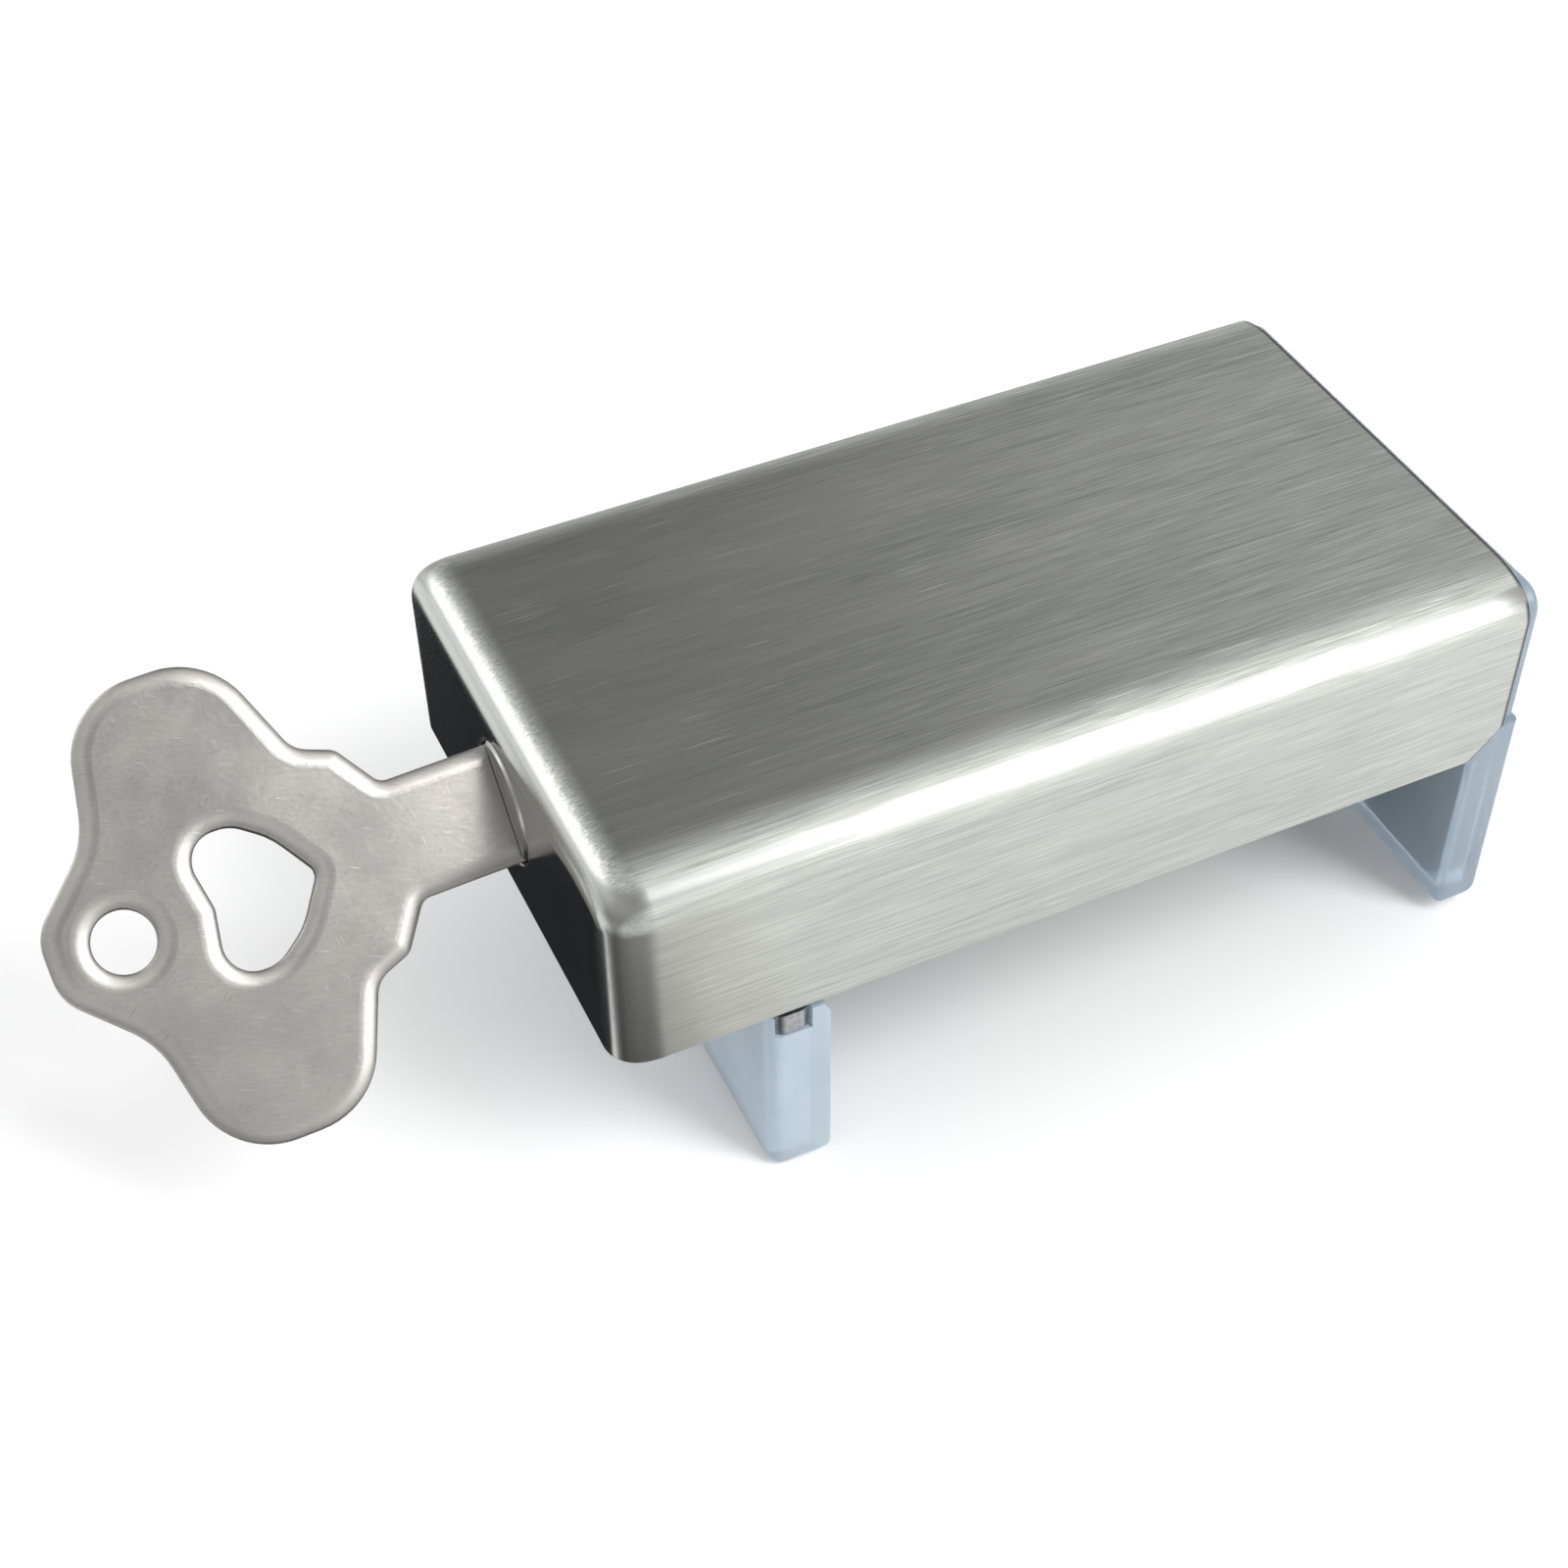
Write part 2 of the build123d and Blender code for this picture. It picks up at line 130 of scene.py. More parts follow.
# Stainless steel sheet, belt-brushed along its length: hairlines that spread a highlight across them.
# A pattern is its size along x, y and z in mm and the noise's detail and roughness. A tone is its
# colour, where its pattern starts and is full, and the most it covers. A bite is how far the belt's
# lines show: two places along the X or Z of the direction that the surface faces, and how far at each
brushed = {
    "colour": "#d6d8d2",
    "hairlineDark": "#80827d",
    "polished": "#b9bbb6",
    "hairlines": ((4.2, 0.08, 0.08), 4, 0.6),  # a real one is finer and wouldn't show in the picture
    "clusters": ((7.0, 0.5, 0.5), 3, 0.6),  # where the belt's grit left its lines closer together
    "haze": ((16.0, 4.0, 4.0), 2, 0.5),
    "scratches": ((5.0, 0.07, 0.07), 1, 0.4),
    "hairlineRange": (0.3, 0.7),  # of the noise, from dark to light
    "clusterTone": ("#8f918c", 0.65, 0.35, 0.28),
    "hazeTone": ("#e6e6e1", 0.35, 0.7, 0.15),
    "scratchTone": ("#fbfbf8", 0.71, 0.78, 0.8),
    "roofBite": (0.3, 0.9, 0.5, 1.0),  # Z, less on the walls than on the roof
    "roundBite": (-0.75, -0.3, 0.0, 1.0),  # X, none on the round of the roof's key end
    "cornerBite": ((0.4, 0.1, 0.0, 1.0), (-0.97, -0.85, 0.0, 1.0)),  # Z and X, full on the upright corners
    "roughness": (0.3, 0.4),
    "endRoughness": 0.2,  # the end wall is polished
    "endFacing": (-0.98, -0.6, 1.0, 0.0),  # X
    "endDepth": (0.7, 0.3),  # mm from the key end, where the polish starts and is full
    "anisotropy": 0.7,
    "anisotropyTurn": 0.25,  # of a full turn
    "tilt": 0.02,  # of the hairlines' direction, so the end wall has one too
    "depth": 0.003,  # mm
    "bump": 0.3,
    # painted shade: a dark line along the open end's edge that stands in for the shadow there
    "paintedEdgeShade": "#2c2f33",
    "paintedEdgeShadeRange": (0.36, 0.2, 0.85),  # mm from the open end where it starts and is full, and its most
    "insideColour": "#8f908d",  # the sheet's mill finish, left dull in the drawing
    "seam": (0.6, 0.4),  # mm below the outside, between the finish inside and the one outside
}


def brushedStainless():
    material, tree, shader = newMaterial("brushedStainless", {
        "Metallic": 1.0, "Anisotropic": brushed["anisotropy"],
        "Anisotropic Rotation": brushed["anisotropyTurn"]})
    place = millimetres(tree)
    hairlines = stretchedNoise(tree, place, *brushed["hairlines"])
    clusters = stretchedNoise(tree, place, *brushed["clusters"])
    haze = stretchedNoise(tree, place, *brushed["haze"])
    scratches = stretchedNoise(tree, place, *brushed["scratches"])
    steel = layTone(tree, brushed["hairlineDark"], hairlines, brushed["colour"], *brushed["hairlineRange"])
    steel = layTone(tree, steel, clusters, *brushed["clusterTone"])
    steel = layTone(tree, steel, haze, *brushed["hazeTone"])
    steel = layTone(tree, steel, scratches, *brushed["scratchTone"])
    # where the belt bit, and elsewhere the steel is only polished
    coords = addNode(tree, "ShaderNodeTexCoord")
    facing = addNode(tree, "ShaderNodeSeparateXYZ", {}, {0: coords.outputs["Normal"]})
    facingX, facingZ = facing.outputs["X"], facing.outputs["Z"]
    cornerZ, cornerX = brushed["cornerBite"]
    offRound = ramps(tree, (facingX, *brushed["roundBite"]))
    onCorner = ramps(tree, (facingZ, *cornerZ), (facingX, *cornerX))
    bitten = addNode(tree, "ShaderNodeMath", {"operation": "MAXIMUM"}, {0: offRound, 1: onCorner})
    bite = ramps(tree, (facingZ, *brushed["roofBite"]), (bitten, 0.0, 1.0, 0.0, 1.0))
    lined = addNode(tree, "ShaderNodeMix", {"data_type": "RGBA", 6: hexToLinear(brushed["polished"])},
                    {0: bite, 7: steel})
    # the open end's edge is painted darker, a painted shadow line along it, and everything inside the shell
    # is duller
    position = addNode(tree, "ShaderNodeSeparateXYZ", {}, {0: place})
    placeX = position.outputs["X"]
    edgeShadeStart, edgeShadeFull, edgeShadeMost = brushed["paintedEdgeShadeRange"]
    # painted shadow line along the open end's edge
    edgeShaded = layTone(tree, lined.outputs[2], placeX, brushed["paintedEdgeShade"],
                    farX / mm - edgeShadeStart, farX / mm - edgeShadeFull, edgeShadeMost)
    deep, shallow = brushed["seam"]
    side = addNode(tree, "ShaderNodeMath", {"operation": "ABSOLUTE"}, {0: position.outputs["Y"]})
    isInside = ramps(tree, (side, halfWidth / mm - deep, halfWidth / mm - shallow, 1.0, 0.0),
                     (position.outputs["Z"], roofZ / mm - deep, roofZ / mm - shallow, 1.0, 0.0),
                     (placeX, keyEndX / mm + shallow, keyEndX / mm + deep, 0.0, 1.0))
    tree.links.new(layTone(tree, edgeShaded, isInside, brushed["insideColour"]), shader.inputs["Base Color"])
    smoothest, roughest = brushed["roughness"]
    grain = ramps(tree, (hairlines, *brushed["hairlineRange"], roughest, smoothest))
    endStart, endFull = [keyEndX / mm + depth for depth in brushed["endDepth"]]
    isEnd = ramps(tree, (facingX, *brushed["endFacing"]), (placeX, endStart, endFull, 0.0, 1.0))
    ended = addNode(tree, "ShaderNodeMix", {3: brushed["endRoughness"]}, {0: isEnd, 2: grain})
    tree.links.new(ended.outputs[0], shader.inputs["Roughness"])
    along = addNode(tree, "ShaderNodeCombineXYZ", {"X": 1.0, "Z": brushed["tilt"]})
    tree.links.new(along.outputs[0], shader.inputs["Tangent"])
    bump = addNode(tree, "ShaderNodeBump", {"Distance": brushed["depth"] * mm},
                   {"Height": hairlines, "Strength": ramps(tree, (bite, 0.0, 1.0, 0.0, brushed["bump"]))})
    tree.links.new(bump.outputs[0], shader.inputs["Normal"])
    return material


# Stamped and tumbled stainless steel: soft sheen, a fine pebble and short scratches every way.
# Its patterns and tones are given as those of the brushed sheet
stamped = {
    "colour": "#a5a29e",
    "shade": "#999693",
    "roughness": (0.21, 0.26),
    "edgeRoughness": 0.42,  # the tumbling dulled the rolled edges most
    "edge": (0.9995, 0.985),  # cosines of the turn away from the flat face, where it starts and is full
    "cloud": ((5.0, 5.0, 5.0), 3, 0.55),
    "cloudRange": (0.3, 0.7),
    "pebble": ((0.25, 0.25, 0.25), 2, 0.5),
    "depth": 0.006,  # mm, of the pebble
    "bump": 0.4,
    "scratch": ((1.4, 0.07, 1.4), 2, 0.5),
    "scratches": ((25, "#c9c7c2"), (-40, "#6f6d6a"), (80, "#bebcb7"), (5, "#757370")),  # degrees and tone
    "scratchCover": (0.68, 0.76, 0.6),
    "grain": ((0.6, 0.16, 0.6), 3, 0.6),  # faint marks of the rolling mill
    "grainTurn": 15.0,  # degrees
    "grainTone": ("#83807d", 0.6, 0.35, 0.18),
}


def stampedSteel():
    material, tree, shader = newMaterial("stampedSteel", {"Metallic": 1.0})
    place = millimetres(tree)
    cloud = stretchedNoise(tree, place, *stamped["cloud"])
    colour = layTone(tree, stamped["shade"], cloud, stamped["colour"], *stamped["cloudRange"])
    # laid flat first, so that each set of marks can be turned within the key's face
    flat = addNode(tree, "ShaderNodeVectorRotate", {"rotation_type": "X_AXIS", "Angle": -keyTurn},
                   {"Vector": place})
    marks = [(degrees, "scratch", (tone, *stamped["scratchCover"])) for degrees, tone in stamped["scratches"]]
    for degrees, pattern, tone in marks + [(stamped["grainTurn"], "grain", stamped["grainTone"])]:
        turned = addNode(tree, "ShaderNodeVectorRotate",
                         {"rotation_type": "Z_AXIS", "Angle": math.radians(degrees)}, {"Vector": flat})
        colour = layTone(tree, colour, stretchedNoise(tree, turned, *stamped[pattern]), *tone)
    tree.links.new(colour, shader.inputs["Base Color"])
    coords = addNode(tree, "ShaderNodeTexCoord")
    level = addNode(tree, "ShaderNodeVectorMath",
                    {"operation": "DOT_PRODUCT", 1: (0, -math.sin(keyTurn), math.cos(keyTurn))},
                    {0: coords.outputs["Normal"]})
    onEdge = ramps(tree, (level.outputs["Value"], *stamped["edge"], 0.0, 1.0))
    dulled = addNode(tree, "ShaderNodeMix", {3: stamped["edgeRoughness"]},
                     {0: onEdge, 2: ramps(tree, (cloud, *stamped["cloudRange"], *stamped["roughness"]))})
    tree.links.new(dulled.outputs[0], shader.inputs["Roughness"])
    bump = addNode(tree, "ShaderNodeBump", {"Strength": stamped["bump"], "Distance": stamped["depth"] * mm},
                   {"Height": stretchedNoise(tree, place, *stamped["pebble"])})
    tree.links.new(bump.outputs[0], shader.inputs["Normal"])
    return material


# Low-density polyethylene, moulded: waxy, milky and pale blue, and light passes into it. The moving
# jaw's sleeve is the milkier one, and the fixed jaw's is clearer, so its plate, painted dark as shade, shows
# through
polythene = {
    "clearness": {"milkyPolythene": 0.5, "clearPolythene": 0.8},
    "colour": "#dcebf6",
    "shade": "#cddfed",
    "roughness": 0.3,
    "indexOfRefraction": 1.51,
    "cloud": ((4.0, 4.0, 4.0), 3, 0.5),
    "cloudRange": (0.3, 0.7),
    "skin": ((0.5, 0.5, 0.5), 3, 0.6),
    "depth": 0.02,  # mm, of the skin
    "bump": 0.3,
}


def mouldedPolythene(name, clearness):
    material, tree, shader = newMaterial(name, {
        "IOR": polythene["indexOfRefraction"], "Transmission Weight": clearness,
        "Roughness": polythene["roughness"]})
    place = millimetres(tree)
    cloud = stretchedNoise(tree, place, *polythene["cloud"])
    colour = layTone(tree, polythene["shade"], cloud, polythene["colour"], *polythene["cloudRange"])
    tree.links.new(colour, shader.inputs["Base Color"])
    bump = addNode(tree, "ShaderNodeBump",
                   {"Strength": polythene["bump"], "Distance": polythene["depth"] * mm},
                   {"Height": stretchedNoise(tree, place, *polythene["skin"])})
    tree.links.new(bump.outputs[0], shader.inputs["Normal"])
    return material


# Plain metals: light and dark tone, roughness, and the finish's grain along x, y and z in mm
plainMetals = {
    "coldRolledSheet": ("#b4b6b8", "#9a9c9e", 0.3, (0.3, 3, 0.3)),  # soft grey sheen, faint rolling lines
    "shadedRolledSheet": ("#64676b", "#515458", 0.38, (0.3, 3, 0.3)),  # the moving jaw's rolled sheet painted darker, as painted shade between the jaws
    "turnedSteel": ("#b4b5b2", "#8e908d", 0.28, (0.12, 4, 4)),  # bright, with the cutter's fine rings
    "zincPlate": ("#c2c0b6", "#a8a69b", 0.32, (1.2, 1.2, 1.2)),  # pale, a little warm and mottled
    "sinteredBronze": ("#b58a52", "#8d683b", 0.4, (0.2, 0.2, 0.2)),  # brown gold, dull from its pores
}
plainFinish = {
    "noise": (3, 0.6),  # detail and roughness
    "toneRange": (0.35, 0.65),
    "roughRange": (0.3, 0.7),
    "roughSpread": 0.1,
    "depth": 0.004,  # mm
    "bump": 0.3,
}


def plainMetal(name, light, dark, roughness, grain):
    material, tree, shader = newMaterial(name, {"Metallic": 1.0})
    pattern = stretchedNoise(tree, millimetres(tree), grain, *plainFinish["noise"])
    colour = layTone(tree, dark, pattern, light, *plainFinish["toneRange"])
    tree.links.new(colour, shader.inputs["Base Color"])
    roughest = roughness + plainFinish["roughSpread"]
    uneven = ramps(tree, (pattern, *plainFinish["roughRange"], roughest, roughness))
    tree.links.new(uneven.outputs[0], shader.inputs["Roughness"])
    bump = addNode(tree, "ShaderNodeBump",
                   {"Strength": plainFinish["bump"], "Distance": plainFinish["depth"] * mm},
                   {"Height": pattern})
    tree.links.new(bump.outputs[0], shader.inputs["Normal"])
    return material


housingSteel = brushedStainless()
keySteel = stampedSteel()
plastics = {name: mouldedPolythene(name, clearness) for name, clearness in polythene["clearness"].items()}
metals = {name: plainMetal(name, *row) for name, row in plainMetals.items()}
print("stage: materials made")

finishes = {
    # painted shade: the fixed jaw takes the darker copy of the rolled sheet
    "fixed_jaw": metals["shadedRolledSheet"],
    "moving_jaw": metals["coldRolledSheet"],
    "fixed_jaw_sleeve": plastics["clearPolythene"],
    "moving_jaw_sleeve": plastics["milkyPolythene"],
    "drive_pin": metals["turnedSteel"],
    "thrust_washer": metals["zincPlate"],
    "jaw_nut": metals["zincPlate"],
    "end_bush": metals["sinteredBronze"],
}
for nodeName, finish in finishes.items():
    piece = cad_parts[nodeName]
    piece.data.materials.clear()
    piece.data.materials.append(finish)
print("stage: frame nodes dressed")


def dress(piece, material, node, body):
    # puts a finer piece in the place of a node
    piece.data.materials.clear()
    piece.data.materials.append(material)
    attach(piece, body)
    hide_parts(node)


def linkedObject(name, mesh):
    piece = bpy.data.objects.new(name, mesh)
    bpy.context.collection.objects.link(piece)
    return piece


def finishedMesh(name, maker):
    mesh = bpy.data.meshes.new(name)
    maker.to_mesh(mesh)
    maker.free()
    return mesh


def breakEdges(piece, width, degrees, segments):
    # bevels the edges at which the surface turns by more than the given angle
    edgeBreak = piece.modifiers.new("edgeBreak", "BEVEL")
    edgeBreak.width = width * mm
    edgeBreak.segments = segments
    edgeBreak.limit_method = "ANGLE"
    edgeBreak.angle_limit = math.radians(degrees)


# Housing, drawn from one sheet: a crowned section along X, rounded over to the wall at the key end.
# Lengths are in mm
drawnHousing = {
    "sheet": 1.0,
    "crown": 7.0,  # radius where the roof starts to fall away
    "crownTurn": 20.0,  # degrees of that arc
    "bend": 2.2,  # radius from there into the side wall
    "endRound": 2.0,  # how far the end wall's face lies inside the sides
    "endTurn": 75.0,  # degrees of the round's tight part, after which it eases into the sides
    "easing": 2.5,  # radius of the eased part, for each mm of the round
    "cornerCut": 2.15,
    "hole": 3.5,  # radius round the drive plug's nose
    "edgeBreak": (0.18, 35, 3),  # width, degrees past which an edge is broken, and segments
    "steps": {"crown": 6, "bend": 12, "round": 12, "easing": 5, "hole": 64},  # that draw each curve
}


def housingSection(inset, bottom):
    # the section as (y, z) in mm, from the front rim over the roof to the back rim
    crown, bend = drawnHousing["crown"] - inset, drawnHousing["bend"] - inset
    bendSteps, crownSteps = drawnHousing["steps"]["bend"], drawnHousing["steps"]["crown"]
    turn = math.radians(drawnHousing["crownTurn"])
    top = roofZ / mm - inset
    easing = drawnHousing["crown"] - drawnHousing["bend"]
    flat = halfWidth / mm - easing * math.sin(turn) - drawnHousing["bend"]
    bendY = flat + easing * math.sin(turn)
    bendZ = top - crown + easing * math.cos(turn)
    half = [(bendY + bend, bottom)]
    for k in range(bendSteps + 1):
        angle = (math.pi / 2 - turn) * k / bendSteps
        half.append((bendY + bend * math.cos(angle), bendZ + bend * math.sin(angle)))
    for k in range(1, crownSteps + 1):
        angle = math.pi / 2 - turn + turn * k / crownSteps
        half.append((flat + crown * math.cos(angle), top - crown + crown * math.sin(angle)))
    return [(-y, z) for y, z in half] + half[::-1]


def housingRows(inset):
    # where the sections stand and how far each is inset: first the key end's round, then straight on
    roundSteps, easingSteps = drawnHousing["steps"]["round"], drawnHousing["steps"]["easing"]
    turn = math.radians(drawnHousing["endTurn"])
    depth = drawnHousing["endRound"] - inset
    eased = drawnHousing["easing"] * depth
    tight = (depth - eased * (1 - math.sin(turn))) / math.sin(turn)
    start = keyEndX / mm + inset
    rows = []
    for k in range(roundSteps + 1):
        angle = turn * k / roundSteps
        rows.append((start + tight * (1 - math.cos(angle)), inset + depth - tight * math.sin(angle)))
    easedStart = rows[-1][0]
    for k in range(1, easingSteps + 1):
        angle = turn + (math.pi / 2 - turn) * k / easingSteps
        x = easedStart + eased * (math.cos(turn) - math.cos(angle))
        rows.append((x, inset + eased * (1 - math.sin(angle))))
    return rows + [(farX / mm - drawnHousing["cornerCut"], inset), (farX / mm, inset)]


def closeEndWall(maker, walls):
    # fills both sides of the end wall round the hole, and joins them through it
    steps, radius = drawnHousing["steps"]["hole"], drawnHousing["hole"] * mm
    holes = []
    for rows in walls:
        border = rows[0]
        ring = []
        for k in range(steps):
            angle = 2 * math.pi * k / steps
            ring.append(maker.verts.new((border[0].co.x, radius * math.cos(angle),
                                         screwZ + radius * math.sin(angle))))
        edges = [maker.edges.new((ring[k - 1], ring[k])) for k in range(steps)]
        edges += [maker.edges.get((border[k - 1], border[k])) for k in range(len(border))]
        bmesh.ops.triangle_fill(maker, use_beauty=True, edges=edges)
        holes.append(ring)
    for k in range(steps):
        maker.faces.new((holes[0][k - 1], holes[0][k], holes[1][k], holes[1][k - 1]))


def buildHousing():
    maker = bmesh.new()
    walls = []
    for inset in (0.0, drawnHousing["sheet"]):
        rows = []
        for x, depth in housingRows(inset):
            bottom = rimZ / mm + max(0.0, x - farX / mm + drawnHousing["cornerCut"])
            rows.append([maker.verts.new((x * mm, y * mm, z * mm)) for y, z in housingSection(depth, bottom)])
        for first, second in zip(rows, rows[1:]):
            for k in range(len(first) - 1):
                maker.faces.new((first[k], first[k + 1], second[k + 1], second[k]))
        walls.append(rows)
    outer, inner = walls
    for side in (0, -1):  # the rim
        for i in range(len(outer) - 1):
            maker.faces.new((outer[i][side], outer[i + 1][side], inner[i + 1][side], inner[i][side]))
    for k in range(len(outer[0]) - 1):  # the open end
        maker.faces.new((outer[-1][k], outer[-1][k + 1], inner[-1][k + 1], inner[-1][k]))
    maker.faces.new((outer[0][0], outer[0][-1], inner[0][-1], inner[0][0]))  # the end wall's lower edge
    closeEndWall(maker, walls)
    bmesh.ops.recalc_face_normals(maker, faces=maker.faces)
    mesh = finishedMesh("drawnHousing", maker)
    mesh.shade_smooth()
    housing = linkedObject("drawn_housing", mesh)
    breakEdges(housing, *drawnHousing["edgeBreak"])
    housing.modifiers.new("faceNormals", "WEIGHTED_NORMAL")
    dress(housing, housingSteel, "housing", "housing_body")


# Key blank, stamped from strip: the corners of one side as distance along the key from the
# housing's end, distance from its middle line, and corner radius, all in mm
keyBlank = {
    "lean": 1.8,  # degrees that the key leans in the keyway's play
    "insertion": 4.6,
    "thickness": 1.5,
    "roll": 1.0,  # width of the edges that the die rolled over
    "rollDepth": 0.28,
    "rollSteps": 8,
    "outline": ((-4.6, 3.25, 1.0), (5.8, 3.25, 0.8), (7.4, 5.6, 1.0), (9.4, 6.35, 1.6), (11.85, 12.45, 4.2),
                (19.35, 12.4, 4.2), (20.8, 5.4, 5.0), (24.5, 1.7, 2.6)),
    "heart": ((10.35, 0, 0.7), (11.95, 2.45, 4.0), (13.7, 3.75, 2.0), (16.5, 3.75, 1.6), (15.85, 0, 0.95)),
    "ringHole": (20.6, 1.65, 48),  # distance along, radius, and how many points draw it
}


def roundedCorners(corners, stepDegrees=6):
    # a closed line through the corners, each rounded to its radius
    points = []
    count = len(corners)
    for i in range(count):
        corner = Vector(corners[i][:2])
        radius = corners[i][2]
        before = (Vector(corners[i - 1][:2]) - corner).normalized()
        after = (Vector(corners[(i + 1) % count][:2]) - corner).normalized()
        between = before.angle(after)
        reach = radius / math.tan(between / 2)
        centre = corner + (before + after).normalized() * radius / math.sin(between / 2)
        start = corner + before * reach - centre
        finish = corner + after * reach - centre
        turn = math.pi - between
        side = 1 if start.x * finish.y > start.y * finish.x else -1
        steps = max(2, round(math.degrees(turn) / stepDegrees))
        for k in range(steps + 1):
            angle = side * turn * k / steps
            cosine, sine = math.cos(angle), math.sin(angle)
            points.append(centre + Vector((start.x * cosine - start.y * sine,
                                           start.x * sine + start.y * cosine)))
    return points


def buildKey():
    curve = bpy.data.curves.new("keyBlank", "CURVE")
    curve.dimensions = "2D"
    curve.fill_mode = "BOTH"
    outline = keyBlank["outline"]
    heart = keyBlank["heart"]
    outer = list(outline) + [(u, -v, r) for u, v, r in reversed(outline)]
    inner = list(heart) + [(u, -v, r) for u, v, r in reversed(heart[1:-1])]
    away, radius, count = keyBlank["ringHole"]
    angles = [2 * math.pi * k / count for k in range(count)]
    ring = [Vector((away + radius * math.cos(angle), radius * math.sin(angle))) for angle in angles]
    for points in (roundedCorners(outer), roundedCorners(inner), ring):
        spline = curve.splines.new("POLY")
        spline.points.add(len(points) - 1)
        for target, point in zip(spline.points, points):
            target.co = (point.x * mm, point.y * mm, 0, 1)
        spline.use_cyclic_u = True
    roll = keyBlank["roll"] * mm
    squash = keyBlank["rollDepth"] / keyBlank["roll"]  # a round bevel, flattened until the edge is this deep
    curve.extrude = keyBlank["thickness"] * mm / 2 / squash - roll
    curve.bevel_depth = roll
    curve.bevel_resolution = keyBlank["rollSteps"]
    curve.offset = -roll
    mesh = bpy.data.meshes.new_from_object(bpy.data.objects.new("keyBlankCurve", curve))
    lean = math.radians(keyBlank["lean"])
    across = Vector((0, math.cos(keyTurn), math.sin(keyTurn)))
    normal = Vector((0, -math.sin(keyTurn), math.cos(keyTurn)))
    along = Vector((-math.cos(lean), 0, 0)) - across * math.sin(lean)
    halfway = keyBlank["insertion"] / 2 * mm
    start = Vector((keyEndX + halfway, 0, screwZ)) + along * halfway
    placed = Matrix((along, normal.cross(along), normal * squash)).transposed().to_4x4()
    mesh.transform(Matrix.Translation(start) @ placed)
    mesh.shade_smooth()
    key = linkedObject("stamped_key", mesh)
    weighted = key.modifiers.new("faceNormals", "WEIGHTED_NORMAL")
    weighted.weight = 100  # by area, so the flat faces stay flat beside the rolled edges
    dress(key, keySteel, "key", "key_body")


# Lead screw, M5 x 0.8 with a right-hand thread, and plain ends for the plug and the bush
leadScrew = {
    "pitch": 0.8,
    "crest": 2.5,  # radii in mm
    "root": 2.01,
    "spigot": 2.0,
    "journal": 1.5,
    "undercut": 1.2,
    "endPlay": 0.2,
    "lead": 0.1,  # how far the plain ends reach into the thread, and its runout below the root
    "journalBreak": 0.15,
    "thread": ((0.0, "root"), (0.25, "root"), (0.5625, "crest"), (0.6875, "crest")),  # shares of the pitch
    "segments": 40,
    "weld": 0.0001,
    "sharp": 24,  # degrees past which an edge stays sharp
}


def lathe(maker, profile, segments):
    # turns (x, radius) pairs in mm round the screw's axis
    rings = []
    for x, radius in profile:
        ring = []
        for i in range(segments):
            angle = 2 * math.pi * i / segments
            ring.append(maker.verts.new((x * mm, radius * math.cos(angle) * mm,
                                         screwZ + radius * math.sin(angle) * mm)))
        rings.append(ring)
    for first, second in zip(rings, rings[1:]):
        for i in range(segments):
            j = (i + 1) % segments
            maker.faces.new((first[i], second[i], second[j], first[j]))
    maker.faces.new(rings[0])
    maker.faces.new(list(reversed(rings[-1])))


def cutThread(maker, start, end):
    # one column of points for each segment, joined round the rod a pitch further on at each turn
    pitch, root, segments = leadScrew["pitch"], leadScrew["root"], leadScrew["segments"]
    turns = math.ceil((end - start) / pitch) + 1
    columns = []
    for i in range(segments):
        angle = 2 * math.pi * i / segments
        column = []
        for turn in range(-1, turns):
            for share, level in leadScrew["thread"]:
                x = start + pitch * (turn + share + i / segments)
                x = min(max(x, start), end)
                chamfered = root - leadScrew["lead"] + min(x - start, end - x)
                radius = min(leadScrew[level], chamfered)
                column.append(maker.verts.new((x * mm, radius * math.cos(angle) * mm,
                                               screwZ + radius * math.sin(angle) * mm)))
        columns.append(column)
    for i in range(segments):
        first = columns[i]
        second = columns[(i + 1) % segments]
        shift = len(leadScrew["thread"]) if i == segments - 1 else 0  # back to the first, a turn further on
        for k in range(len(first) - 1):
            if k + 1 + shift < len(second):
                maker.faces.new((first[k], first[k + 1], second[k + 1 + shift], second[k + shift]))


def buildLeadScrew():
    maker = bmesh.new()
    spigot, journal, lead = leadScrew["spigot"], leadScrew["journal"], leadScrew["lead"]
    segments = leadScrew["segments"]
    threadStart = plugHigh.x / mm + leadScrew["undercut"]
    threadEnd = bushLow.x / mm - leadScrew["endPlay"]
    runout = leadScrew["root"] - lead
    tip, tipBreak = screwHigh.x / mm, leadScrew["journalBreak"]
    cutThread(maker, threadStart, threadEnd)
    lathe(maker, ((screwLow.x / mm, spigot), (threadStart + lead, spigot)), segments)
    lathe(maker, ((threadEnd - lead, runout), (threadEnd, runout), (threadEnd, journal),
                  (tip - tipBreak, journal), (tip, journal - tipBreak)), segments)
    bmesh.ops.remove_doubles(maker, verts=maker.verts, dist=leadScrew["weld"] * mm)
    bmesh.ops.recalc_face_normals(maker, faces=maker.faces)
    mesh = finishedMesh("threadedRod", maker)
    mesh.shade_smooth()
    mesh.set_sharp_from_angle(angle=math.radians(leadScrew["sharp"]))
    rod = linkedObject("threaded_rod", mesh)
    dress(rod, metals["turnedSteel"], "lead_screw", "screw_body")


